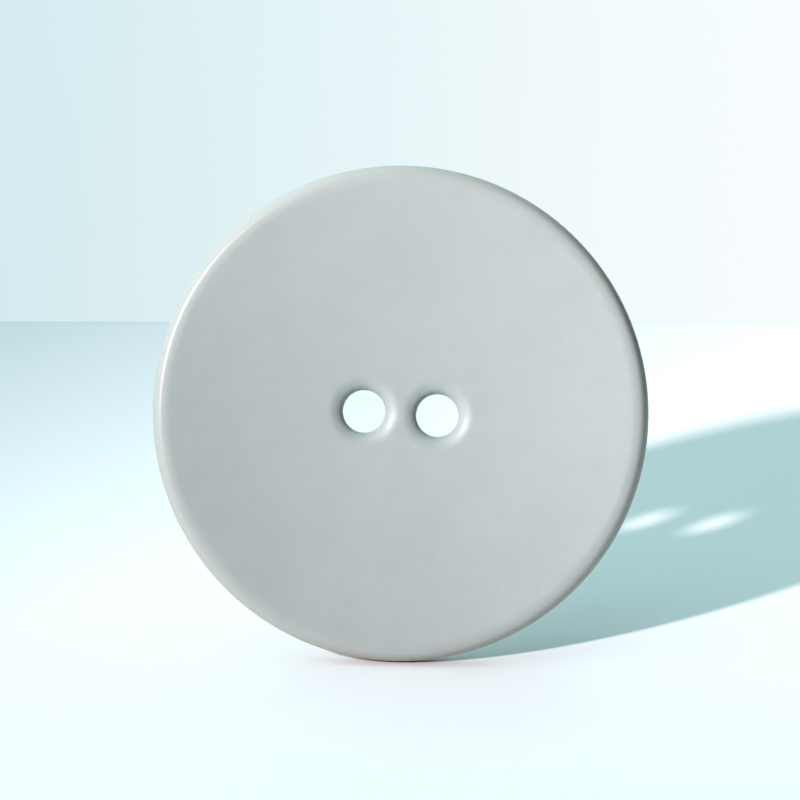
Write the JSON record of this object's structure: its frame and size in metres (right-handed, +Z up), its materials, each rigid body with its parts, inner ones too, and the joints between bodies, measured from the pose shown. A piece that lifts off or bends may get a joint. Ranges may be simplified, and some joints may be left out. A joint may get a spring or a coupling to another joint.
{
  "type": "sew-through button",
  "caption": "Flat sew-through coat button: a dished round disc with a thin rolled rim, a gently domed back and thread holes either side of its middle.",
  "frame": {"origin": "middle of the button: on its axis, half way between the crest of the rim and the flat middle of the back", "axes": "+Y along the button's axis from its front to its back, +X from one thread hole to the other, +Z up as the button stands on its edge"},
  "size_m": [0.028, 0.0024, 0.028],
  "materials": {
    "button_plastic": "satin, light grey, solid colour right through, polished a little smoother on the rim"
  },
  "bodies": {
    "root": {"button_body": "button_plastic"}
  },
  "joints": []
}
